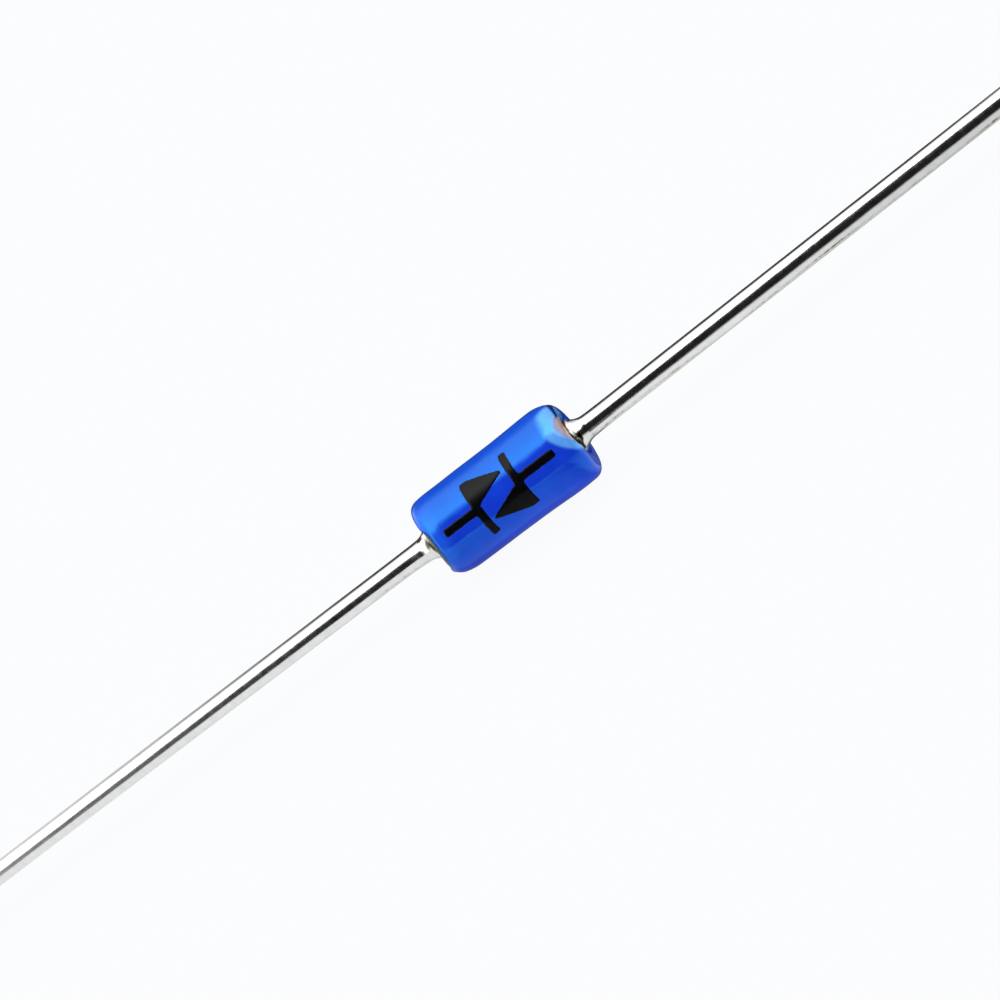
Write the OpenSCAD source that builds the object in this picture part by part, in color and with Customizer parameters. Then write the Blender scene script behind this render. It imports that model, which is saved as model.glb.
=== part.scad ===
// Diac: a two-lead trigger diode in a lacquered axial glass package.
// A silicon chip is clamped between two slugs by the glass sleeve that is fused around them,
// and a tinned lead is butt-welded to the outer end of each slug.
// X runs along the leads, Z is up, the origin is the centre of the body. Millimetres.

/* [Body] */
// Outside diameter of the body, over the lacquer
body_d = 1.94; // [1.8:0.02:2]
// Length of the body, over the lacquer
body_l = 3.9; // [3.6:0.05:4.4]
// Rounding of the fused glass at both ends
shoulder_r = 0.18; // [0.1:0.02:0.2]
// Thickness of the lacquer
coat_t = 0.04; // [0.02:0.01:0.06]
// Radius on each end face where the lacquer stops
coat_stop_r = 0.64; // [0.56:0.02:0.64]

/* [Seal] */
// Diameter of the slugs that the glass is fused to
slug_d = 0.84; // [0.8:0.02:0.88]
// How far each slug stands out of the glass
slug_proud = 0.06; // [0.04:0.01:0.12]
// Depth of the funnel in each glass end, around the slug
dish = 0.1; // [0.02:0.02:0.14]

/* [Chip] */
// Side of the square chip
chip_w = 0.5; // [0.36:0.02:0.5]
// Thickness of the chip
chip_t = 0.24; // [0.18:0.02:0.3]
// Bevel around both faces of the chip
mesa = 0.06; // [0.02:0.01:0.07]
// Side of each square contact pad
pad_w = 0.34; // [0.2:0.02:0.36]
// Thickness of each contact pad
pad_t = 0.05; // [0.03:0.01:0.08]

/* [Leads] */
// Diameter of the tinned wire
lead_d = 0.5; // [0.46:0.01:0.56]
// Length of each lead, from the end of the body to its tip
lead_l = 26; // [12:1:38]
// Diameter of the weld flare against the slug
weld_d = 0.76; // [0.66:0.02:0.8]
// Length of the weld flare
weld_l = 0.3; // [0.2:0.05:0.5]
// Sideways bend of the left lead, in degrees
left_bend = 0; // [0:0.1:5]
// Sideways bend of the right lead, in degrees
right_bend = 1.4; // [0:0.1:5]

/* [Marking] */
// Length of the printed mark along the body
mark_l = 3; // [1.8:0.1:3]
// Height of the printed mark around the body
mark_h = 1.4; // [0.9:0.05:1.5]
// Width of the printed strokes
stroke = 0.2; // [0.1:0.02:0.2]
// Turn of the mark from the top of the body towards its front, in degrees
mark_turn = 52; // [0:1:90]
// Thickness of the ink
ink_t = 0.015; // [0.01:0.005:0.02]

/* [Hidden] */
$fn = 96;
coat_r = body_d / 2;
glass_r = coat_r - coat_t;
coat_half = body_l / 2;
glass_half = coat_half - coat_t;
slug_r = slug_d / 2;
slug_in = chip_t / 2 + pad_t;         // inner face of a slug, against its contact pad
slug_out = glass_half + slug_proud;   // outer face of a slug, against its lead
lead_r = lead_d / 2;
weld_r = weld_d / 2;
weld_end = slug_out + weld_l;         // the flare has come down to the wire here
tip_x = coat_half + lead_l;
tip_cut = 0.03;                       // bevel left by the cutter at the tip
mark_gap = 0.84;                      // between the two bars of the mark
tip_gap = 0.06;                       // from an arrow's point to the bar it faces

// Turns a shape built along Z so that it lies along +X.
module along_x() { rotate([0, 90, 0]) children(); }

// Half section of a round bar with rounded ends: x is the radius, y runs along the axis.
module bar_section(r, half, round) {
    translate([0, -(half - round)]) square([r, 2 * (half - round)]);
    translate([0, -half]) square([r - round, 2 * half]);
    for (s = [-1, 1]) translate([r - round, s * (half - round)]) circle(round);
}

// A square in the half section, from radius r0 to r1 and from y0 to y1.
module band(r0, r1, y0, y1) { translate([r0, y0]) square([r1 - r0, y1 - y0]); }

module glass_sleeve() {
    dish_r = coat_stop_r - 0.04;
    color([0.82, 0.88, 0.86, 0.5]) along_x() rotate_extrude() difference() {
        bar_section(glass_r, glass_half, shoulder_r);
        band(0, slug_r, -coat_half, coat_half);
        for (s = [-1, 1])
            polygon([[slug_r, s * (glass_half - dish)], [dish_r, s * glass_half],
                     [dish_r, s * (glass_half + 0.1)], [slug_r, s * (glass_half + 0.1)]]);
    }
}

module lacquer_coat() {
    color([0.07, 0.27, 0.84]) along_x() rotate_extrude() difference() {
        bar_section(coat_r, coat_half, shoulder_r + coat_t);
        bar_section(glass_r, glass_half, shoulder_r);
        band(0, coat_stop_r, -coat_half - 0.1, coat_half + 0.1);
    }
}

// A point of the mark: s along the body, t around it, both measured on the lacquer.
function wrapped(s, t) = [s, coat_r * sin(t / coat_r * 180 / PI)];

// Half of the mark: a stub line, a bar across it, and an arrow whose base is on the bar.
// The arrow's blunt point stops just short of the other half's bar.
module half_mark(turn) {
    bar = -mark_gap / 2;
    point = mark_gap / 2 - tip_gap;
    middle = (mark_h / 2 + 0.04) / 2;
    outline = [[-mark_l / 2, -stroke / 2], [bar - stroke, -stroke / 2], [bar - stroke, -mark_h / 2],
               [bar, -mark_h / 2], [bar, 0.04], [point, middle - 0.03], [point, middle + 0.03],
               [bar, mark_h / 2], [bar - stroke, mark_h / 2], [bar - stroke, stroke / 2],
               [-mark_l / 2, stroke / 2]];
    polygon([for (p = outline) wrapped(turn * p[0], turn * p[1])]);
}

// Circuit symbol of a two-way trigger diode, printed around the upper front of the body.
module marking_ink() {
    color([0.05, 0.05, 0.05]) rotate([mark_turn, 0, 0]) intersection() {
        along_x() difference() {
            cylinder(r = coat_r + ink_t, h = mark_l + 1, center = true);
            cylinder(r = coat_r, h = mark_l + 2, center = true);
        }
        linear_extrude(height = body_d) for (turn = [-1, 1]) half_mark(turn);
    }
}

module slug(side) {
    color([0.72, 0.42, 0.27]) translate([side * slug_in, 0, 0]) rotate([0, side * 90, 0])
        cylinder(r = slug_r, h = slug_out - slug_in);
}

// Plated pad on one face of the chip, pressed against the slug.
module contact(side) {
    color([0.8, 0.8, 0.78]) translate([side * (chip_t + pad_t) / 2, 0, 0])
        cube([pad_t, pad_w, pad_w], center = true);
}

// Square pellet with a bevel around both faces.
module chip() {
    color([0.24, 0.25, 0.28]) difference() {
        cube([chip_t, chip_w, chip_w], center = true);
        for (side = [-1, 1], turn = [0 : 90 : 270])
            rotate([turn, 0, 0]) translate([side * chip_t / 2, chip_w / 2, 0]) rotate([0, 0, 45])
                cube([mesa * sqrt(2), mesa * sqrt(2), 2 * chip_w], center = true);
    }
}

// The flare's outline is an arc that runs out along the wire, with a fine step left around it.
flare_end_r = lead_r + 0.012;
flare_drop = weld_r - flare_end_r;
flare_arc_r = (weld_l * weld_l + flare_drop * flare_drop) / (2 * flare_drop);
function flare(x) = flare_end_r + flare_arc_r - sqrt(flare_arc_r * flare_arc_r - (weld_end - x) * (weld_end - x));
flare_steps = 10;

// The wire starts inside the flare and leaves it at an angle; its tip keeps the cutter's bevel.
module lead(bend) {
    along_x() rotate_extrude()
        polygon(concat([[0, slug_out]],
                       [for (i = [0 : flare_steps]) let (x = slug_out + weld_l * i / flare_steps) [flare(x), x]],
                       [[0, weld_end]]));
    root = -weld_l / 2;
    tip = tip_x - weld_end;
    translate([weld_end, 0, 0]) rotate([0, 0, bend]) along_x() rotate_extrude()
        polygon([[0, root], [lead_r, root], [lead_r, tip - tip_cut], [lead_r - tip_cut, tip], [0, tip]]);
}

module lead_left() { color([0.8, 0.8, 0.78]) mirror([1, 0, 0]) lead(left_bend); }

module lead_right() { color([0.8, 0.8, 0.78]) lead(right_bend); }

lacquer_coat();
marking_ink();
glass_sleeve();
slug(-1);  // slug_left
slug(1);  // slug_right
chip();
contact(-1);  // contact_left
contact(1);  // contact_right
lead_left();
lead_right();
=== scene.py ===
"""A lacquered axial glass trigger diode, seen close up on a pale surface.

Lengths in the shape code are millimetres; mesh() turns them into metres.
Around the body, angle 0 faces the camera and positive angles go up and over the back.
"""

import math

import bmesh
import bpy
import numpy as np
from mathutils import Matrix, Vector


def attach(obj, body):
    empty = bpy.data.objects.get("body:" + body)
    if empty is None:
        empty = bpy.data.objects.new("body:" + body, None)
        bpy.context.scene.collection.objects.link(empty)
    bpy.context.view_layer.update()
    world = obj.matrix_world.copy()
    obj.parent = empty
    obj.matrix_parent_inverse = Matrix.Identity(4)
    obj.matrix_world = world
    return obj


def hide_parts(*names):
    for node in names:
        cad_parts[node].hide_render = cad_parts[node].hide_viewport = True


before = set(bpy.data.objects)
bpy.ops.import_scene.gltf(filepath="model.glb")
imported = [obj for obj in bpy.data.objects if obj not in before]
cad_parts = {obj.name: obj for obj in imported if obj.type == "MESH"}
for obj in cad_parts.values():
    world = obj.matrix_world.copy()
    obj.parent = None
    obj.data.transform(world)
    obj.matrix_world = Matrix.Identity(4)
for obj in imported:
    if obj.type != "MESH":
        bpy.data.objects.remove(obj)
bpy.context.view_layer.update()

# ---------------------------------------------------------------- camera

ELEV = math.radians(38.0)  # the print faces this high above the front
TILT = math.radians(12.0)  # the camera stands this far towards the +X end
ROLL = math.radians(37.2)  # the body's axis in the picture
DIST = 37.0
PX_PER_MM = 47.0

FRONT = Vector((0.0, -math.cos(ELEV), math.sin(ELEV)))
OVER = Vector((0.0, math.sin(ELEV), math.cos(ELEV)))
AXIS = Vector((1.0, 0.0, 0.0))


def make_camera():
    back = AXIS * math.sin(TILT) + FRONT * math.cos(TILT)
    along = AXIS * math.cos(TILT) - FRONT * math.sin(TILT)
    right = along * math.cos(ROLL) - OVER * math.sin(ROLL)
    up = along * math.sin(ROLL) + OVER * math.cos(ROLL)
    place = back * DIST - right * (4.9 / PX_PER_MM) - up * (10.8 / PX_PER_MM)
    data = bpy.data.cameras.new("camera")
    data.sensor_width = 36.0
    data.lens = PX_PER_MM * DIST / 1000.0 * 36.0
    data.clip_start, data.clip_end = 0.001, 20.0
    cam = bpy.data.objects.new("camera", data)
    bpy.context.scene.collection.objects.link(cam)
    turn = Matrix((right, up, back)).transposed().to_4x4()
    cam.matrix_world = Matrix.Translation(place / 1000.0) @ turn
    bpy.context.scene.camera = cam


make_camera()

# ---------------------------------------------------------------- sizes, as in the CAD parts

BODY_R, BODY_HALF, COAT = 0.97, 1.95, 0.04
GLASS_R, GLASS_HALF, ROUND = 0.93, 1.91, 0.18
DISH_R, DISH = 0.60, 0.10
SLUG_R, SLUG_IN, SLUG_OUT = 0.42, 0.17, 1.97
LEAD_R, WELD_R, WELD_L = 0.255, 0.38, 0.30
WELD_END = SLUG_OUT + WELD_L
TIP_X = 27.95
RIGHT_BEND = math.radians(1.4)
MARK_L, MARK_H, STROKE, MARK_GAP, TIP_GAP = 3.0, 1.4, 0.20, 0.84, 0.06

# ---------------------------------------------------------------- helpers


def mesh(name, points, faces, material, node=None, smooth=True):
    """A piece from points in millimetres, riding on the part's one body."""
    data = bpy.data.meshes.new(name)
    data.from_pydata((np.asarray(points, float) / 1000.0).tolist(), [], faces)
    bm = bmesh.new()
    bm.from_mesh(data)
    bmesh.ops.recalc_face_normals(bm, faces=bm.faces)
    bm.to_mesh(data)
    bm.free()
    data.polygons.foreach_set("use_smooth", [smooth] * len(data.polygons))
    data.materials.append(material)
    piece = bpy.data.objects.new(name, data)
    bpy.context.scene.collection.objects.link(piece)
    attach(piece, "root")
    if node:
        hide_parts(node)
    return piece


def loop_faces(rings, around, closed):
    """Quads between rings of points; closed joins the last ring to the first."""
    out = []
    for i in range(rings if closed else rings - 1):
        a, b = i * around, ((i + 1) % rings) * around
        for j in range(around):
            k = (j + 1) % around
            out.append((a + j, a + k, b + k, b + j))
    return out


def point_values(piece, name, values):
    """Stores one number for each point of a piece, for its material to read."""
    piece.data.attributes.new(name, "FLOAT", "POINT").data.foreach_set("value", np.asarray(values, np.float32).ravel())


def waves(a, b, seed):
    """Smooth unevenness of about -1 to 1 over two coordinates; whole turns of b join up."""
    total = 0.0
    for k in range(6):
        p = seed * 1.7 + k * 2.399
        f = 0.8 + 0.55 * k
        total = total + math.cos(p * 3.1) * np.sin(f * a * 2.1 + p) * np.cos((k % 4 + 1) * b + 2.1 * p)
    return total / 2.2


def smooth(lo, hi, v):
    t = np.clip((v - lo) / (hi - lo), 0.0, 1.0)
    return t * t * (3 - 2 * t)


def round_table(angle, table):
    """A smooth closed curve through (degrees, value) pairs."""
    d = np.degrees(angle)
    at = np.array([p[0] for p in table], float)
    v = np.array([p[1] for p in table], float)
    at = np.concatenate([at - 360, at, at + 360])
    v = np.concatenate([v, v, v])
    fine = np.arange(-540, 541, 1.0)
    line = np.interp(fine, at, v)
    kernel = np.exp(-0.5 * (np.arange(-12, 13) / 3.5) ** 2)
    line = np.convolve(line, kernel / kernel.sum(), "same")
    return np.interp((d + 180) % 360 - 180, fine, line)


# ---------------------------------------------------------------- materials


def material(name, build):
    m = bpy.data.materials.new(name)
    m.use_nodes = True
    tree = m.node_tree
    tree.nodes.clear()
    out = tree.nodes.new("ShaderNodeOutputMaterial")
    shader = tree.nodes.new("ShaderNodeBsdfPrincipled")
    tree.links.new(shader.outputs["BSDF"], out.inputs["Surface"])
    coord = tree.nodes.new("ShaderNodeTexCoord")
    build(tree, shader, coord.outputs["Object"])
    return m


def stretched(tree, coord, scale):
    n = tree.nodes.new("ShaderNodeMapping")
    n.inputs["Scale"].default_value = scale
    tree.links.new(coord, n.inputs["Vector"])
    return n.outputs["Vector"]


def noise(tree, vector, scale, detail=3.0, rough=0.55, distort=0.0):
    n = tree.nodes.new("ShaderNodeTexNoise")
    n.inputs["Scale"].default_value = scale
    n.inputs["Detail"].default_value = detail
    n.inputs["Roughness"].default_value = rough
    n.inputs["Distortion"].default_value = distort
    tree.links.new(vector, n.inputs["Vector"])
    return n.outputs["Fac"]


def ramp(tree, value, stops):
    """A colour ramp; each stop is (place, (r, g, b))."""
    n = tree.nodes.new("ShaderNodeValToRGB")
    els = n.color_ramp.elements
    while len(els) < len(stops):
        els.new(0.5)
    for e, (p, c) in zip(els, stops, strict=True):
        e.position = p
        e.color = (*c, 1.0)
    tree.links.new(value, n.inputs["Fac"])
    return n.outputs["Color"]


def spread(tree, value, lo, hi, a=0.3, b=0.7):
    n = tree.nodes.new("ShaderNodeMapRange")
    n.inputs["From Min"].default_value = a
    n.inputs["From Max"].default_value = b
    n.inputs["To Min"].default_value = lo
    n.inputs["To Max"].default_value = hi
    tree.links.new(value, n.inputs["Value"])
    return n.outputs["Result"]


def math_node(tree, op, a, b=None, c=None):
    n = tree.nodes.new("ShaderNodeMath")
    n.operation = op
    for i, v in enumerate((a, b, c)):
        if v is None:
            continue
        if isinstance(v, (int, float)):
            n.inputs[i].default_value = v
        else:
            tree.links.new(v, n.inputs[i])
    return n.outputs["Value"]


def blend(tree, factor, a, b):
    """Colour a where factor is 0, colour b where it is 1."""
    n = tree.nodes.new("ShaderNodeMix")
    n.data_type = "RGBA"
    for key, v in (("Factor", factor), ("A", a), ("B", b)):
        tree.links.new(v, n.inputs[key])
    return n.outputs["Result"]


def values_of(tree, name):
    n = tree.nodes.new("ShaderNodeAttribute")
    n.attribute_name = name
    return n.outputs["Fac"]


def bumps(tree, shader, layers):
    """Stacked bumps; each layer is (height socket, depth in metres)."""
    last = None
    for height, depth in layers:
        n = tree.nodes.new("ShaderNodeBump")
        n.inputs["Strength"].default_value = 1.0
        n.inputs["Distance"].default_value = depth
        tree.links.new(height, n.inputs["Height"])
        if last is not None:
            tree.links.new(last, n.inputs["Normal"])
        last = n.outputs["Normal"]
    tree.links.new(last, shader.inputs["Normal"])


def blue_lacquer(tree, shader, coord):
    """Deep blue, greener on the upper side as a painted sheen, and lighter towards the left end and on the lower right
    shoulder as a painted highlight; paler where the coat thins out over the right-hand shoulder, partly a real thin
    coat and partly a painted highlight; a milky film at its very edge there; and nearly navy along the rims, a painted
    shade."""
    cloud = noise(tree, coord, 2600.0, 4.0, 0.6)
    deep = ramp(tree, cloud, [(0.25, (0.0062, 0.037, 0.545)), (0.55, (0.0072, 0.043, 0.605)), (0.8, (0.0095, 0.054, 0.645))])
    pale = ramp(tree, cloud, [(0.25, (0.075, 0.28, 0.78)), (0.8, (0.115, 0.36, 0.86))])
    # painted sheen colour for the upper side
    painted_sheen_azure = ramp(tree, cloud, [(0.25, (0.0045, 0.058, 0.49)), (0.8, (0.0065, 0.074, 0.56))])
    # painted highlight colour for the ends
    painted_light_blue = ramp(tree, cloud, [(0.25, (0.0105, 0.076, 0.66)), (0.8, (0.0135, 0.092, 0.74))])
    film = ramp(tree, cloud, [(0.3, (0.20, 0.24, 0.52)), (0.7, (0.30, 0.29, 0.50))])
    # painted shade colour for the rims
    navy = ramp(tree, cloud, [(0.3, (0.0020, 0.010, 0.110)), (0.7, (0.0030, 0.016, 0.170))])
    ragged = math_node(tree, "MULTIPLY_ADD", noise(tree, coord, 6000.0, 3.0), 0.5, -0.25)

    # Gives a mask a ragged edge; used for the thin coat, the film and the painted rim shade.
    def ragged_mask(name):
        part = values_of(tree, name)
        return math_node(tree, "MULTIPLY", math_node(tree, "ADD", part, ragged), part)

    # painted sheen: the upper side turns greener where the soft box lights the top
    colour = blend(tree, values_of(tree, "upper"), deep, painted_sheen_azure)
    # painted highlight: lighter towards the left end and on the lower right shoulder
    colour = blend(tree, values_of(tree, "end"), colour, painted_light_blue)
    # paler over the right shoulder: partly a real thin coat, partly a painted highlight
    colour = blend(tree, ragged_mask("thin"), colour, pale)
    colour = blend(tree, ragged_mask("film"), colour, film)
    # painted shade: nearly navy along the rims
    colour = blend(tree, ragged_mask("rim_shade"), colour, navy)
    tree.links.new(colour, shader.inputs["Base Color"])
    tree.links.new(spread(tree, noise(tree, coord, 9000.0, 4.0), 0.07, 0.15), shader.inputs["Roughness"])
    shader.inputs["IOR"].default_value = 1.54
    shader.inputs["Specular IOR Level"].default_value = 1.0
    shader.inputs["Specular Tint"].default_value = (0.10, 0.69, 1.0, 1.0)
    bumps(tree, shader, [(noise(tree, coord, 1400.0, 1.0), 1.1e-5), (noise(tree, coord, 3500.0, 2.0), 5.0e-6)])


def black_ink(tree, shader, coord):
    cloud = noise(tree, coord, 9000.0, 4.0, 0.65)
    tree.links.new(
        ramp(tree, cloud, [(0.3, (0.0010, 0.0014, 0.0022)), (0.6, (0.0022, 0.0024, 0.0030)), (0.8, (0.0060, 0.0050, 0.0042))]),
        shader.inputs["Base Color"],
    )
    tree.links.new(spread(tree, noise(tree, coord, 14000.0, 4.0), 0.14, 0.26), shader.inputs["Roughness"])
    shader.inputs["Specular IOR Level"].default_value = 0.13
    bumps(tree, shader, [(noise(tree, coord, 22000.0, 4.0), 1.0e-6)])


def seal_glass(tree, shader, coord):
    """Sealing glass, cloudy at its bare ends; near-black at the left rim, a painted shade."""
    cloud = noise(tree, coord, 4200.0, 3.0)
    apart = tree.nodes.new("ShaderNodeSeparateXYZ")
    tree.links.new(coord, apart.inputs["Vector"])
    warm = ramp(tree, cloud, [(0.3, (0.50, 0.33, 0.29)), (0.5, (0.62, 0.47, 0.46)), (0.7, (0.60, 0.52, 0.72))])
    left_rim_shade = ramp(tree, cloud, [(0.3, (0.030, 0.020, 0.018)), (0.7, (0.045, 0.055, 0.110))])
    # painted shade: the glass turns near-black at the left rim
    left = spread(tree, apart.outputs["X"], 1.0, 0.0, -0.0016, -0.0012)
    tree.links.new(blend(tree, left, warm, left_rim_shade), shader.inputs["Base Color"])
    tree.links.new(spread(tree, noise(tree, coord, 8000.0), 0.22, 0.36), shader.inputs["Roughness"])
    shader.inputs["Transmission Weight"].default_value = 0.4
    shader.inputs["IOR"].default_value = 1.55
    bumps(tree, shader, [(noise(tree, coord, 5000.0, 2.0), 2.0e-6)])


def stained_and_shaded(tree, coord, clean):
    """Oxide where the weld overheated, by the mesh's own values: straw, then olive, brown and black. The same values
    also paint shade into the right-hand seam and dark reflections onto the right flare and along the wire's lower side.
    """
    part = values_of(tree, "stain_and_shade")
    depth = math_node(tree, "MULTIPLY", part, spread(tree, noise(tree, coord, 10000.0, 3.0), 0.35, 1.25))
    oxide = ramp(tree, depth, [
        (0.15, (0.42, 0.41, 0.27)), (0.40, (0.095, 0.10, 0.036)), (0.62, (0.050, 0.032, 0.021)), (0.90, (0.021, 0.020, 0.019)),
    ])
    return blend(tree, spread(tree, depth, 0.0, 1.0, 0.06, 0.30), clean, oxide)


def slug_copper(tree, shader, coord):
    """Dull red inside the glass, tinned where the slug stands out of it."""
    apart = tree.nodes.new("ShaderNodeSeparateXYZ")
    tree.links.new(coord, apart.inputs["Vector"])
    out = math_node(tree, "ABSOLUTE", apart.outputs["X"])
    cloud = noise(tree, coord, 7000.0, 4.0, 0.6)
    edge = math_node(tree, "MULTIPLY_ADD", cloud, 3.0e-5, out)
    tinned = spread(tree, edge, 0.0, 1.0, 0.001930, 0.001955)
    red = ramp(tree, cloud, [(0.3, (0.075, 0.040, 0.034)), (0.6, (0.15, 0.075, 0.058)), (0.8, (0.26, 0.13, 0.09))])
    tin = ramp(tree, cloud, [(0.3, (0.70, 0.70, 0.69)), (0.7, (0.84, 0.84, 0.82))])
    tree.links.new(stained_and_shaded(tree, coord, blend(tree, tinned, red, tin)), shader.inputs["Base Color"])
    shader.inputs["Metallic"].default_value = 1.0
    tree.links.new(spread(tree, noise(tree, coord, 12000.0, 4.0), 0.18, 0.42), shader.inputs["Roughness"])
    bumps(tree, shader, [(noise(tree, coord, 16000.0, 3.0), 2.0e-6)])


def tinned_wire(tree, shader, coord):
    drawn = stretched(tree, coord, (0.025, 1.0, 1.0))
    cloud = noise(tree, coord, 5200.0, 4.0, 0.6)
    clean = ramp(tree, cloud, [(0.25, (0.69, 0.69, 0.685)), (0.5, (0.76, 0.76, 0.755)), (0.8, (0.82, 0.82, 0.815))])
    tree.links.new(stained_and_shaded(tree, coord, clean), shader.inputs["Base Color"])
    shader.inputs["Metallic"].default_value = 1.0
    tree.links.new(spread(tree, noise(tree, coord, 6500.0, 4.0), 0.12, 0.19), shader.inputs["Roughness"])
    bumps(tree, shader, [
        (noise(tree, drawn, 16000.0, 1.0), 5.0e-7),
        (noise(tree, coord, 3000.0, 1.0), 1.8e-6),
    ])


def silicon(tree, shader, coord):
    cloud = noise(tree, coord, 18000.0, 4.0)
    tree.links.new(
        ramp(tree, cloud, [(0.3, (0.030, 0.032, 0.040)), (0.7, (0.065, 0.068, 0.080))]),
        shader.inputs["Base Color"],
    )
    shader.inputs["Metallic"].default_value = 0.6
    tree.links.new(spread(tree, noise(tree, coord, 40000.0, 3.0), 0.2, 0.45), shader.inputs["Roughness"])
    bumps(tree, shader, [(noise(tree, coord, 50000.0, 3.0), 6.0e-7)])


def contact_silver(tree, shader, coord):
    cloud = noise(tree, coord, 30000.0, 4.0)
    tree.links.new(
        ramp(tree, cloud, [(0.3, (0.62, 0.61, 0.58)), (0.7, (0.80, 0.79, 0.76))]),
        shader.inputs["Base Color"],
    )
    shader.inputs["Metallic"].default_value = 1.0
    tree.links.new(spread(tree, noise(tree, coord, 50000.0, 3.0), 0.25, 0.5), shader.inputs["Roughness"])
    bumps(tree, shader, [(noise(tree, coord, 60000.0, 3.0), 8.0e-7)])


LACQUER = material("blue_lacquer", blue_lacquer)
INK = material("black_ink", black_ink)
GLASS = material("seal_glass", seal_glass)
COPPER = material("slug_copper", slug_copper)
TIN = material("tinned_wire", tinned_wire)
SILICON = material("silicon", silicon)
SILVER = material("contact_silver", contact_silver)

# ---------------------------------------------------------------- body

BEND_AT = GLASS_HALF - ROUND
BEND_END = BEND_AT + ROUND * math.pi / 2
FLAT_R = GLASS_R - ROUND


def glass_line(s, angle):
    """Place and outward direction on the glass outline, s along it from the middle of the body.

    The left end was drawn in a little on the side that faces the camera, and slopes off below;
    the right end slopes off at the back and stands out a little on its lower near side.
    """
    a = np.abs(s)
    d = np.degrees(angle)
    bend = np.clip((a - BEND_AT) / ROUND, 0, math.pi / 2)
    x = np.minimum(a, BEND_AT) + ROUND * np.sin(bend)
    r = FLAT_R + ROUND * np.cos(bend) - np.clip(a - BEND_END, 0, None)
    sink = DISH * np.clip((DISH_R - r) / (DISH_R - SLUG_R), 0, 1) ** 1.2
    short = np.where(s < 0, 0.10 * np.exp(-((d / 48.0) ** 2)), 0.0) * smooth(0.9, 1.7, a)
    under = 0.035 * np.exp(-(((d + 88.0) / 45.0) ** 2)) * np.clip((a - 1.30) / 0.43, 0, 1.4) ** 2
    over = 0.030 * np.exp(-(((d - 95.0) / 45.0) ** 2)) * np.clip((a - 1.35) / 0.40, 0, 1.4) ** 2
    slope = np.where(s < 0, under, over) * smooth(0.55, 0.85, r)
    out = np.where(s > 0, 0.050 * np.exp(-(((d + 29.0) / 27.0) ** 2)), 0.0) * smooth(1.55, 1.95, a)
    return np.sign(s) * (x - sink - short + out), r - slope, np.sign(s) * np.sin(bend), np.cos(bend)


def on_bend(deg):
    return BEND_AT + ROUND * math.radians(deg)


def on_face(r):
    return BEND_END + FLAT_R - r


# Where the lacquer stops at each end, around the body.
RIGHT_STOP = [
    (-180, on_face(0.44)), (-120, on_face(0.44)), (-80, on_face(0.43)), (-44, on_face(0.43)), (-22, on_face(0.55)),
    (-11, on_face(0.66)), (-2, on_face(0.75)), (4, on_bend(63)), (9, on_bend(46)), (16, on_bend(36)), (24, on_bend(34)),
    (32, on_bend(39)), (39, on_bend(54)), (46, on_bend(84)), (52, on_face(0.66)), (62, on_face(0.52)), (95, on_face(0.45)), (140, on_face(0.44)),
]
LEFT_STOP = [
    (-180, on_face(0.50)), (-110, on_face(0.54)), (-80, on_face(0.62)), (-62, on_bend(78)), (-48, on_bend(52)), (-36, on_bend(46)),
    (-25, on_bend(41)), (-10, on_bend(38)), (6, on_bend(38)), (16, on_bend(48)), (26, on_bend(84)), (40, on_face(0.66)),
    (75, on_face(0.58)), (110, on_face(0.54)), (150, on_face(0.50)),
]


# From here on towards the right end the coat is thin and paler, partly a real thin coat and partly a painted highlight.
THIN_FROM = [
    (-180, 2.6), (-44, 2.6), (-30, 2.02), (-20, 1.84), (-10, 1.71), (0, 1.59), (12, 1.47), (22, 1.38), (56, 1.39), (68, 1.58), (80, 1.70), (104, 1.95), (128, 2.6),
]


def stops(angle):
    right = round_table(angle, RIGHT_STOP) + 0.007 * np.sin(11 * angle + 0.7) + 0.004 * np.sin(23 * angle + 2.0)
    left = round_table(angle, LEFT_STOP) + 0.006 * np.sin(9 * angle + 1.9) + 0.004 * np.sin(19 * angle + 0.4)
    return left, right


def coat_depth(s, angle, left, right):
    """Thickness of the lacquer: fuller towards the right end, falling away before both ends, drawn to a thin edge."""
    deep = COAT + 0.026 * smooth(0.2, 1.4, s) + 0.0025 * waves(s * 1.3, angle, 3.0)
    full = 0.25 + 0.75 * smooth(-75, -25, np.degrees(angle))
    deep = deep - 0.042 * full * np.clip((s - 1.42) / 0.31, 0, 1.15) ** 2 - 0.020 * np.clip((-s - 1.45) / 0.30, 0, 1.1) ** 2
    corner = np.exp(-(((np.degrees(angle) + 58.0) / 24.0) ** 2)) * np.exp(-(((-s - on_bend(60)) / 0.06) ** 2))
    deep = deep + 0.025 * corner
    edge = np.minimum(right - s, s + left)
    lip = 0.004 * np.exp(-(((edge - 0.09) / 0.05) ** 2))
    round_off = np.sqrt(np.clip(1 - (1 - np.clip(edge / 0.06, 0, 1)) ** 2, 0, 1))
    return (deep + lip) * round_off


def coat_surface(s, angle, lift=0.0):
    """Points on the lacquer's outside, raised by lift."""
    left, right = stops(angle)
    x, r, nx, nr = glass_line(s, angle)
    deep = coat_depth(s, angle, left, right) + lift
    return place_rows(x + nx * deep, r + nr * deep, angle)


def place_rows(x, r, angle):
    c, s = np.cos(angle), np.sin(angle)
    return np.stack([x, r * (c * FRONT[1] + s * OVER[1]), r * (c * FRONT[2] + s * OVER[2])], -1)


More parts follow.
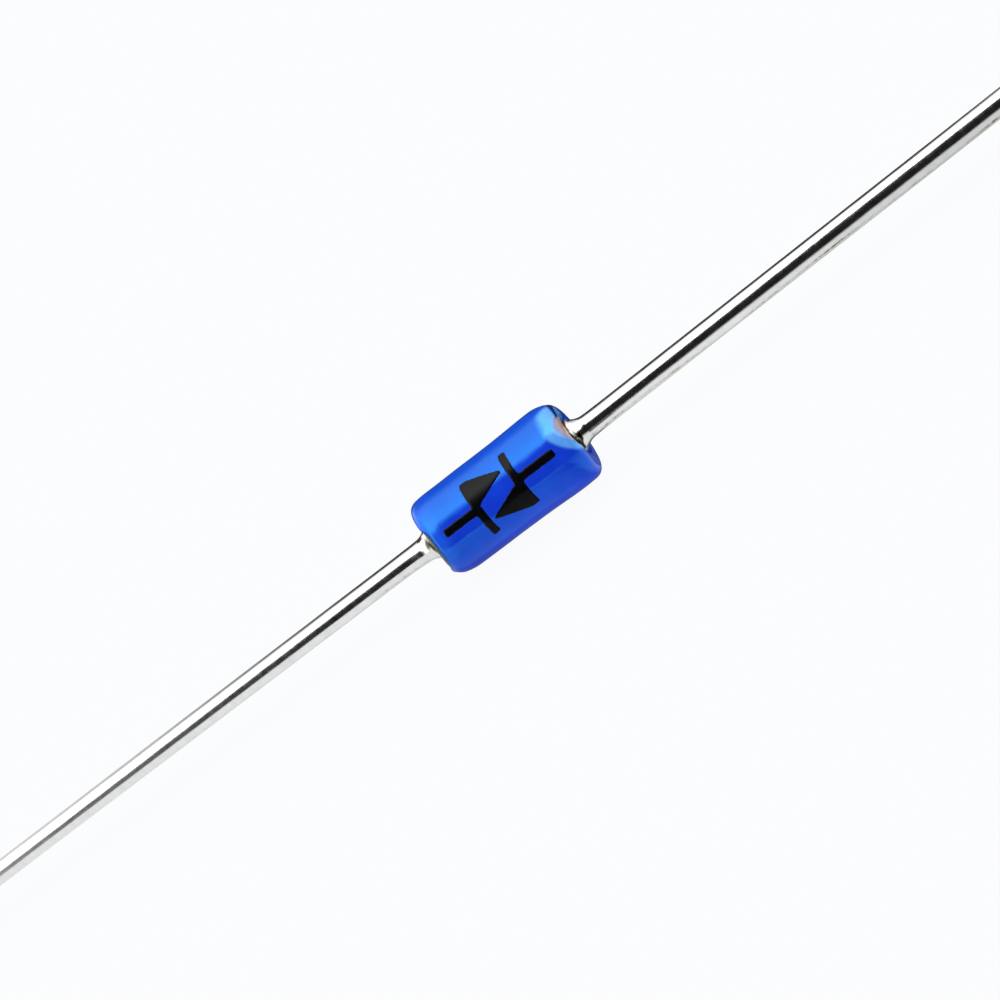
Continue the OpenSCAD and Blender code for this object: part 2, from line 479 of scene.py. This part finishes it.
def make_lacquer():
    around, out_rows, in_rows = 256, 150, 40
    angle = np.arange(around) * 2 * math.pi / around - math.pi
    left, right = stops(angle)

    def rows(count):
        v = np.linspace(0, 1, count)
        w = 0.45 * v + 0.55 * (0.5 - 0.5 * np.cos(math.pi * v))
        return -left[None, :] + (left + right)[None, :] * w[:, None]

    s = rows(out_rows)
    a = np.broadcast_to(angle, s.shape)
    x, r, nx, nr = glass_line(s, a)
    deep = coat_depth(s, a, left[None, :], right[None, :])
    outside = place_rows(x + nx * deep, r + nr * deep, a)
    s = rows(in_rows)[::-1]
    a = np.broadcast_to(angle, s.shape)
    x, r, nx, nr = glass_line(s, a)
    inside = place_rows(x - nx * 0.003, r - nr * 0.003, a)
    points = np.concatenate([outside, inside]).reshape(-1, 3)
    piece = mesh("lacquer", points, loop_faces(out_rows + in_rows, around, True), LACQUER, "lacquer_coat")
    s = np.concatenate([rows(out_rows), rows(in_rows)[::-1]])
    d = np.degrees(np.broadcast_to(angle, s.shape))
    start = round_table(angle, THIN_FROM)[None, :]
    # thin coat over the right shoulder, partly a real thin coat and partly a painted highlight
    point_values(piece, "thin", smooth(start, start + 0.13 + 0.14 * smooth(10, 35, d), s))
    # painted sheen on the upper side
    point_values(piece, "upper", smooth(20, 55, d) * smooth(150, 115, d))
    # painted highlight towards the left end and on the lower right shoulder
    lower = 0.8 * smooth(1.85, 1.97, s) * smooth(-110, -90, d) * smooth(-12, -24, d)
    point_values(piece, "end", np.maximum(smooth(-1.28, -1.70, s) * smooth(-34, -10, d) * smooth(64, 30, d), lower))
    point_values(piece, "film", smooth(0.17, 0.03, right - s) * smooth(-14, -2, d) * smooth(54, 40, d))
    # painted shade along the right rim's crest and along the left end's near edge
    crest = BEND_END - 0.015 - 0.105 * smooth(44, 84, d)
    rim = smooth(crest - 0.115, crest - 0.065, s) * smooth(crest + 0.075, crest + 0.03, s)
    rim = rim * smooth(34, 46, d) * smooth(150, 110, d)
    near = smooth(0.105, 0.055, s + left) * smooth(-105, -85, d) * smooth(44, 26, d)
    point_values(piece, "rim_shade", np.maximum(rim, near))
    return piece


def make_glass():
    around = 192
    half = np.concatenate([
        np.linspace(0, BEND_AT, 20)[:-1],
        np.linspace(BEND_AT, BEND_END, 22)[:-1],
        np.linspace(BEND_END, on_face(SLUG_R), 26),
    ])
    s = np.concatenate([-half[::-1], half[1:]])
    angle = np.arange(around) * 2 * math.pi / around - math.pi
    ss = s[:, None] + 0 * angle[None, :]
    aa = angle[None, :] + 0 * s[:, None]
    x, r, nx, nr = glass_line(ss, aa)
    left, right = stops(angle)
    under = 0.012 * smooth(0.0, 0.05, right[None, :] - ss) * smooth(0.0, 0.05, ss + left[None, :])
    x, r = x - nx * under, r - nr * under
    f = np.linspace(0, 1, 14)[1:-1, None]
    bore = x[-1] * (1 - f) + x[0] * f
    x = np.concatenate([x, bore])
    r = np.concatenate([r, np.full(bore.shape, SLUG_R)])
    points = place_rows(x, r, np.broadcast_to(angle, x.shape))
    return mesh("glass", points.reshape(-1, 3), loop_faces(len(x), around, True), GLASS, "glass_sleeve")


def revolved(name, x, r, side, around, mat, node, uneven=0.0, turn=None):
    """A round bar from a list of stations, closed by a point at each end."""
    angle = np.arange(around) * 2 * math.pi / around
    xx = x[:, None] + 0 * angle[None, :]
    aa = angle[None, :] + 0 * x[:, None]
    rr = r[:, None] * (1 + uneven * waves(xx * 0.9, aa, 5.0 + side))
    points = place_rows(xx * side, rr, aa)
    points = np.concatenate([points.reshape(-1, 3), [[side * x[0], 0, 0], [side * x[-1], 0, 0]]])
    if turn is not None:
        points = turn(points)
    n = len(x)
    faces = loop_faces(n, around, False)
    for j in range(around):
        k = (j + 1) % around
        faces.append((n * around, k, j))
        faces.append((n * around + 1, (n - 1) * around + j, (n - 1) * around + k))
    return mesh(name, points, faces, mat, node)


def make_slug(side, node):
    """A plain bar in the glass; its outer edge is melted into the slope of the weld flare."""
    body = SLUG_R + 0.0012
    soft = 0.02
    bend = np.linspace(0, math.pi / 2, 8)
    melt = np.append(np.linspace(0, math.pi / 4, 10)[:-1], [math.pi / 4 * 0.993, math.pi / 4])
    big = (body - WELD_R) / (1 - math.cos(math.pi / 4))
    start = SLUG_OUT - big * math.sin(math.pi / 4)
    x = np.concatenate([
        [SLUG_IN + 0.001, SLUG_IN + 0.001], SLUG_IN + soft * (1 - np.cos(bend)) + 0.001,
        np.linspace(0.4, start - 0.02, 16), start + big * np.sin(melt), [SLUG_OUT, SLUG_OUT],
    ])
    r = np.concatenate([
        [0.1, body - soft - 0.02], body - soft + soft * np.sin(bend),
        np.full(16, body), body - big * (1 - np.cos(melt)), [WELD_R - 0.002, 0.1],
    ])
    piece = revolved("slug_left" if side < 0 else "slug_right", x, r, side, 128, COPPER, node)
    return stain_and_shade_at_weld(piece, side)


def stain_and_shade_at_weld(piece, side):
    """Gives each point of a slug or lead its share of the weld's oxide, plus painted shade in the right-hand seam, a
    painted dark reflection down the right flare and a painted dark reflection streak along the lower side of the wire.
    """
    points = np.empty(len(piece.data.vertices) * 3)
    piece.data.vertices.foreach_get("co", points)
    points = points.reshape(-1, 3) * 1000.0
    x = side * points[:, 0]
    if side > 0:
        points[:, 1] -= math.tan(RIGHT_BEND) * np.clip(x - WELD_END, 0, None)
    at = np.degrees(np.arctan2(points @ np.array(OVER), points @ np.array(FRONT)))
    if side < 0:
        spot = np.exp(-(((at + 1.0 - 330.0 * (x - 1.95)) / 27.0) ** 2)) * (0.30 + 0.50 * smooth(1.99, 1.89, x))
        spot = spot * smooth(1.80, 1.84, x) * smooth(2.06, 2.00, x)
        crest = 1.5 * smooth(42, 51, at) * smooth(112, 95, at) * smooth(2.03, 2.08, x) * smooth(2.24, 2.12, x)
        stain_and_shade = np.maximum(spot, crest)
        streak = 0.06 + 0.24 * smooth(4.2, 2.8, x)
    else:
        spot = 0.42 * np.exp(-(((at + 6.0) / 6.0) ** 2)) * smooth(1.88, 1.93, x) * smooth(2.04, 1.98, x)
        # seam: painted shade in the groove between the slug and the lacquered end, on the lower near side
        seam = 1.1 * smooth(-8, -19, at) * smooth(-66, -50, at) * smooth(1.87, 1.90, x) * smooth(1.998, 1.970, x)
        # hook: a painted dark reflection, the wire's dark band carried down the flare to the seam
        top = -2.0 + 180.0 * (x - 2.0)
        low = np.interp(x, [1.98, 2.0, 2.02, 2.08, 2.16], [-52.0, -40.0, -32.0, -23.0, -19.0])
        hook = 1.1 * smooth(top + 4, top - 8, at) * smooth(low - 5, low + 5, at) * smooth(1.985, 2.005, x) * smooth(2.075, 2.03, x)
        stain_and_shade = np.maximum(np.maximum(spot, seam), hook)
        streak = 0.21 + 0.04 * smooth(5.0, 8.0, x)
    # painted dark reflection: a darker streak along the lower side of the wire, where it would mirror its own shadow
    painted_dark_streak = np.exp(-(((at + 57.0 + 4.0 * np.sin(1.3 * x)) / 9.0) ** 2)) * streak * (1.0 + 0.5 * np.sin(2.3 * x + side) * np.sin(0.9 * x))
    stain_and_shade = np.maximum(stain_and_shade, painted_dark_streak * (smooth(2.05, 2.25, x) if side < 0 else smooth(2.15, 2.5, x)))
    point_values(piece, "stain_and_shade", stain_and_shade)
    return piece


def lead_radius(x, tail, tail_l):
    end_r = LEAD_R + tail
    drop = WELD_R - end_r
    arc = (WELD_L * WELD_L + drop * drop) / (2 * drop)
    d = np.clip(WELD_END - x, 0, WELD_L)
    return np.where(x < WELD_END, end_r + arc - np.sqrt(arc * arc - d * d), LEAD_R + tail * np.exp(-(x - WELD_END) / tail_l))


def make_lead(side, node, bend, tail, tail_l, lift):
    flare = SLUG_OUT + WELD_L * np.insert(np.linspace(0, 1, 24) ** 1.2, 1, 0.002)
    wire = np.concatenate([np.linspace(WELD_END, 16.0, 230)[1:], np.linspace(16.0, TIP_X - 0.25, 130)[1:]])
    tip = TIP_X - 0.25 + np.linspace(0, 0.22, 12)[1:]
    cut = np.linspace(0, math.pi / 2, 7)[1:]
    x = np.concatenate([[SLUG_OUT, SLUG_OUT], flare, wire, tip, TIP_X - 0.03 + 0.03 * np.sin(cut), [TIP_X]])
    r = np.concatenate([
        [0.2, WELD_R - 0.002], lead_radius(flare, tail, tail_l), lead_radius(wire, tail, tail_l), lead_radius(tip, tail, tail_l), LEAD_R - 0.03 + 0.03 * np.cos(cut), [0.12],
    ])

    def turn(p):
        p = p.copy()
        p += (lift * smooth(WELD_END - 0.2, WELD_END + 0.5, np.abs(p[:, 0])))[:, None] * np.array(OVER)
        part = smooth(WELD_END - 0.06, WELD_END + 0.10, np.abs(p[:, 0]))
        a = bend * part
        dx = p[:, 0] - side * WELD_END
        y = p[:, 1]
        p[:, 0] = side * WELD_END + dx * np.cos(a) - y * np.sin(a)
        p[:, 1] = dx * np.sin(a) + y * np.cos(a)
        return p

    name = "lead_left" if side < 0 else "lead_right"
    return stain_and_shade_at_weld(revolved(name, x, r, side, 96, TIN, node, 0.004, turn), side)


def half_mark(turn):
    bar = -MARK_GAP / 2
    point = MARK_GAP / 2 - TIP_GAP
    middle = (MARK_H / 2 + 0.04) / 2
    h, w = MARK_H / 2, STROKE / 2
    line = [
        (-MARK_L / 2, -w), (bar - STROKE, -w), (bar - STROKE, -h), (bar, -h), (bar, 0.04), (point, middle - 0.03),
        (point, middle + 0.03), (bar, h), (bar - STROKE, h), (bar - STROKE, w), (-MARK_L / 2, w),
    ]
    return [(turn * s, turn * t) for s, t in line]


def inside_by(points, line):
    """How deep each point lies inside a closed outline; negative outside."""
    p = points[:, None, :]
    a = np.array(line)[None]
    b = np.roll(a, -1, 1)
    d = b - a
    t = np.clip(((p - a) * d).sum(-1) / (d * d).sum(-1), 0, 1)
    far = np.sqrt((((a + t[..., None] * d) - p) ** 2).sum(-1)).min(1)
    over = (a[..., 1] > p[..., 1]) != (b[..., 1] > p[..., 1])
    cross = p[..., 0] < d[..., 0] * (p[..., 1] - a[..., 1]) / np.where(d[..., 1] == 0, 1e-12, d[..., 1]) + a[..., 0]
    return np.where((over & cross).sum(1) % 2 == 1, far, -far)


def make_ink():
    """The printed symbol: flat strokes with soft corners and a slightly ragged edge, laid on the lacquer."""
    step = 0.02
    s = np.arange(-1.62, 1.62 + step, step)
    t = np.arange(-0.82, 0.82 + step, step)
    ss, tt = np.meshgrid(s, t, indexing="ij")
    grid = np.stack([ss.ravel(), tt.ravel()], -1)
    depth = np.maximum(inside_by(grid, half_mark(1)), inside_by(grid, half_mark(-1))).reshape(ss.shape)
    kernel = np.exp(-0.5 * (np.arange(-4, 5) / 1.3) ** 2)
    kernel /= kernel.sum()
    for axis in (0, 1):
        depth = np.apply_along_axis(lambda v: np.convolve(np.pad(v, 4, "edge"), kernel, "valid"), axis, depth)
    depth = depth + 0.005 * (np.sin(31 * ss + 17 * tt) * np.sin(27 * tt - 12 * ss + 1.3) + np.sin(71 * ss - 40 * tt) * np.sin(66 * tt + 20 * ss))
    marks = {}

    def corner(i, j):
        return marks.setdefault((i, j), len(marks)), (ss[i, j], tt[i, j], depth[i, j])

    def crossing(p, q):
        key = (min(p, q), max(p, q))
        f = depth[key[0]] / (depth[key[0]] - depth[key[1]])
        at = [w[key[0]] * (1 - f) + w[key[1]] * f for w in (ss, tt)]
        return marks.setdefault(key, len(marks)), (*at, 0.0)

    found, tops = {}, []
    for i in range(len(s) - 1):
        for j in range(len(t) - 1):
            ring = [(i, j), (i + 1, j), (i + 1, j + 1), (i, j + 1)]
            if all(depth[c] <= 0 for c in ring):
                continue
            out = []
            for k in range(4):
                p, q = ring[k], ring[(k + 1) % 4]
                if depth[p] > 0:
                    out.append(corner(*p))
                if (depth[p] > 0) != (depth[q] > 0):
                    out.append(crossing(p, q))
            if len(out) >= 3:
                found.update(out)
                tops.append([n for n, _ in out])
    order = {n: k for k, n in enumerate(sorted(found))}
    st = np.array([found[n] for n in sorted(found)])
    tops = [[order[n] for n in f] for f in tops]
    count = {}
    for f in tops:
        for a, b in zip(f, f[1:] + f[:1], strict=True):
            count[(a, b)] = count.get((a, b), 0) + 1
    n = len(st)
    lift = -0.003 + 0.011 * smooth(0.0, 0.03, st[:, 2])
    points = np.concatenate([
        coat_surface(st[:, 0], st[:, 1] / BODY_R, lift),
        coat_surface(st[:, 0], st[:, 1] / BODY_R, -0.008),
    ])
    faces = list(tops) + [[n + k for k in reversed(f)] for f in tops]
    faces += [(b, a, n + a, n + b) for a, b in count if (b, a) not in count]
    return mesh("ink", points, faces, INK, "marking_ink")


make_lacquer()
make_ink()
make_glass()
make_slug(-1, "slug_left")
make_slug(1, "slug_right")
make_lead(-1, "lead_left", 0.0, 0.018, 0.25, 0.012)
make_lead(1, "lead_right", RIGHT_BEND, 0.008, 0.12, 0.0)

for node, mat in (("chip", SILICON), ("contact_left", SILVER), ("contact_right", SILVER)):
    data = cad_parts[node].data
    data.materials.clear()
    data.materials.append(mat)

# ---------------------------------------------------------------- floor and light


def make_floor():
    """A pale surface under the part. It looks evenly lit from straight on; in the part it mirrors as a glowing table
    with dark patches painted around and under the part, a painted shadow and painted dark surroundings.
    """
    data = bpy.data.meshes.new("floor")
    w, z = 3.0, -BODY_R / 1000.0 - 0.00004
    data.from_pydata([(-w, -w, z), (w, -w, z), (w, w, z), (-w, w, z)], [], [(0, 1, 2, 3)])
    m = bpy.data.materials.new("pale_floor")
    m.use_nodes = True
    tree = m.node_tree
    tree.nodes.clear()
    out = tree.nodes.new("ShaderNodeOutputMaterial")

    def surface(albedo, glow):
        n = tree.nodes.new("ShaderNodeBsdfPrincipled")
        n.inputs["Roughness"].default_value = 0.9
        n.inputs["Specular IOR Level"].default_value = 0.0
        n.inputs["Base Color"].default_value = (albedo, albedo, albedo, 1.0)
        n.inputs["Emission Color"].default_value = (0.98, 0.99, 1.0, 1.0)
        n.inputs["Emission Strength"].default_value = glow
        return n

    seen, front, behind, bounce = surface(0.02, 0.955), surface(0.10, 0.84), surface(0.012, 0.008), surface(0.20, 1.40)
    coord = tree.nodes.new("ShaderNodeTexCoord")
    apart = tree.nodes.new("ShaderNodeSeparateXYZ")
    tree.links.new(coord.outputs["Object"], apart.inputs["Vector"])

    def past(axis, start, end):
        return spread(tree, apart.outputs[axis], 0.0, 1.0, start, end)

    def both(a, b):
        return math_node(tree, "MULTIPLY", a, b)

    # Dark patches seen only in reflections: painted shadow under, beside and in front of the body and by its right end,
    # and painted dark surroundings behind, far ahead and far to the right.
    lane = math_node(tree, "MULTIPLY_ADD", apart.outputs["Y"], 0.52, apart.outputs["X"])
    back = both(past("Y", -0.0003, 0.0012), spread(tree, lane, 0.0, 1.0, -0.013, -0.003))
    ahead = both(past("Y", -0.004, -0.010), both(past("X", -0.006, 0.000), spread(tree, apart.outputs["X"], 1.0, 0.6, 0.001, 0.003)))
    right = both(past("Y", -0.0024, -0.0045), both(past("X", -0.0004, 0.0008), past("X", 0.0028, 0.0023)))
    body = both(past("X", -0.0026, -0.0021), past("X", 0.0022, 0.0018))
    beside = both(body, spread(tree, apart.outputs["X"], 0.42, 0.76, 0.0002, 0.0015))
    shade = both(past("X", -0.0026, -0.0021), past("X", 0.00235, 0.00195))
    under = both(math_node(tree, "MULTIPLY", shade, 0.8), past("Y", -0.0014, -0.0009))
    end = both(both(past("X", 0.0015, 0.0019), past("X", 0.0027, 0.0023)), spread(tree, apart.outputs["Y"], 0.0, 0.88, -0.0004, -0.0001))
    far = spread(tree, apart.outputs["X"], 0.0, 0.2, 0.006, 0.011)
    away = math_node(tree, "MAXIMUM", back, ahead)
    for part in (right, beside, under, end, far):
        away = math_node(tree, "MAXIMUM", away, part)
    mirrored = tree.nodes.new("ShaderNodeMixShader")
    tree.links.new(away, mirrored.inputs["Fac"])
    tree.links.new(front.outputs["BSDF"], mirrored.inputs[1])
    tree.links.new(behind.outputs["BSDF"], mirrored.inputs[2])
    path = tree.nodes.new("ShaderNodeLightPath")
    pick = tree.nodes.new("ShaderNodeMixShader")
    shaded = tree.nodes.new("ShaderNodeMixShader")
    tree.links.new(path.outputs["Is Diffuse Ray"], shaded.inputs["Fac"])
    tree.links.new(mirrored.outputs["Shader"], shaded.inputs[1])
    tree.links.new(bounce.outputs["BSDF"], shaded.inputs[2])
    tree.links.new(path.outputs["Is Camera Ray"], pick.inputs["Fac"])
    tree.links.new(shaded.outputs["Shader"], pick.inputs[1])
    tree.links.new(seen.outputs["BSDF"], pick.inputs[2])
    tree.links.new(pick.outputs["Shader"], out.inputs["Surface"])
    data.materials.append(m)
    floor = bpy.data.objects.new("floor", data)
    bpy.context.scene.collection.objects.link(floor)


def make_light():
    """A broad soft box over the part, a dark side to the front, and plain pale surroundings for the view itself."""
    world = bpy.data.worlds.new("studio")
    bpy.context.scene.world = world
    world.use_nodes = True
    tree = world.node_tree
    tree.nodes.clear()
    out = tree.nodes.new("ShaderNodeOutputWorld")
    coord = tree.nodes.new("ShaderNodeTexCoord")
    apart = tree.nodes.new("ShaderNodeSeparateXYZ")
    tree.links.new(coord.outputs["Generated"], apart.inputs["Vector"])
    x, y, z = (apart.outputs[k] for k in "XYZ")

    def step(value, lo, hi, a=0.0, b=1.0, kind="SMOOTHSTEP"):
        n = tree.nodes.new("ShaderNodeMapRange")
        n.interpolation_type = kind
        for key, v in (("Value", value), ("From Min", lo), ("From Max", hi), ("To Min", a), ("To Max", b)):
            if isinstance(v, (int, float)):
                n.inputs[key].default_value = v
            else:
                tree.links.new(v, n.inputs[key])
        return n.outputs["Result"]

    def mix(a, b, f):
        d = math_node(tree, "SUBTRACT", b, a)
        return math_node(tree, "MULTIPLY_ADD", d, f, a)

    turn = math_node(tree, "DEGREES", math_node(tree, "ARCTAN2", z, math_node(tree, "MULTIPLY", y, -1.0)))
    low = math_node(tree, "ADD", step(x, -0.20, -0.45, -9.0, 4.0), step(x, -0.16, -0.06, 0.0, 6.0))
    high = math_node(tree, "SUBTRACT", step(x, -0.06, 0.06, 70.0, 83.0), step(x, -0.24, -0.34, 0.0, 5.0))
    high = math_node(tree, "SUBTRACT", high, step(x, -0.34, -0.55, 0.0, 18.0))
    high = math_node(tree, "SUBTRACT", high, step(x, 0.10, 0.60, 0.0, 22.0))
    soft = step(x, -0.18, -0.40, 8.0, 10.0)
    box = math_node(tree, "MULTIPLY", step(x, -0.12, 0.02, 3.3, 4.6), step(turn, 82.0, 150.0, 1.0, 0.18, "LINEAR"))
    box = mix(box, 1.6, step(x, 0.40, 0.70))
    dark = step(x, -0.32, -0.55, 0.012, 0.18)
    back = math_node(tree, "ADD", step(x, -0.28, -0.50, 0.03, 0.75), step(x, -0.52, -0.60, 0.0, 0.85))
    level = mix(0.8, dark, step(turn, math_node(tree, "SUBTRACT", low, 8.0), math_node(tree, "ADD", low, 8.0)))
    level = mix(level, box, step(turn, math_node(tree, "SUBTRACT", high, soft), math_node(tree, "ADD", high, soft)))
    level = mix(level, 1.6, step(x, -0.50, -0.68))
    edge = step(x, 0.09, 0.18, 134.0, 158.0)
    level = mix(level, back, step(turn, edge, math_node(tree, "ADD", edge, 30.0)))
    level = mix(level, 0.08, step(x, 0.90, 0.96))
    level = mix(level, 0.28, step(x, -0.87, -0.95))
    lit = tree.nodes.new("ShaderNodeBackground")
    lit.inputs["Color"].default_value = (1.0, 1.0, 1.0, 1.0)
    tree.links.new(level, lit.inputs["Strength"])
    seen = tree.nodes.new("ShaderNodeBackground")
    seen.inputs["Color"].default_value = (0.97, 0.98, 1.0, 1.0)
    seen.inputs["Strength"].default_value = 1.0
    path = tree.nodes.new("ShaderNodeLightPath")
    pick = tree.nodes.new("ShaderNodeMixShader")
    tree.links.new(path.outputs["Is Camera Ray"], pick.inputs["Fac"])
    tree.links.new(lit.outputs["Background"], pick.inputs[1])
    tree.links.new(seen.outputs["Background"], pick.inputs[2])
    tree.links.new(pick.outputs["Shader"], out.inputs["Surface"])


make_floor()
make_light()
bpy.context.scene.view_settings.view_transform = "Standard"
bpy.context.scene.view_settings.look = "None"
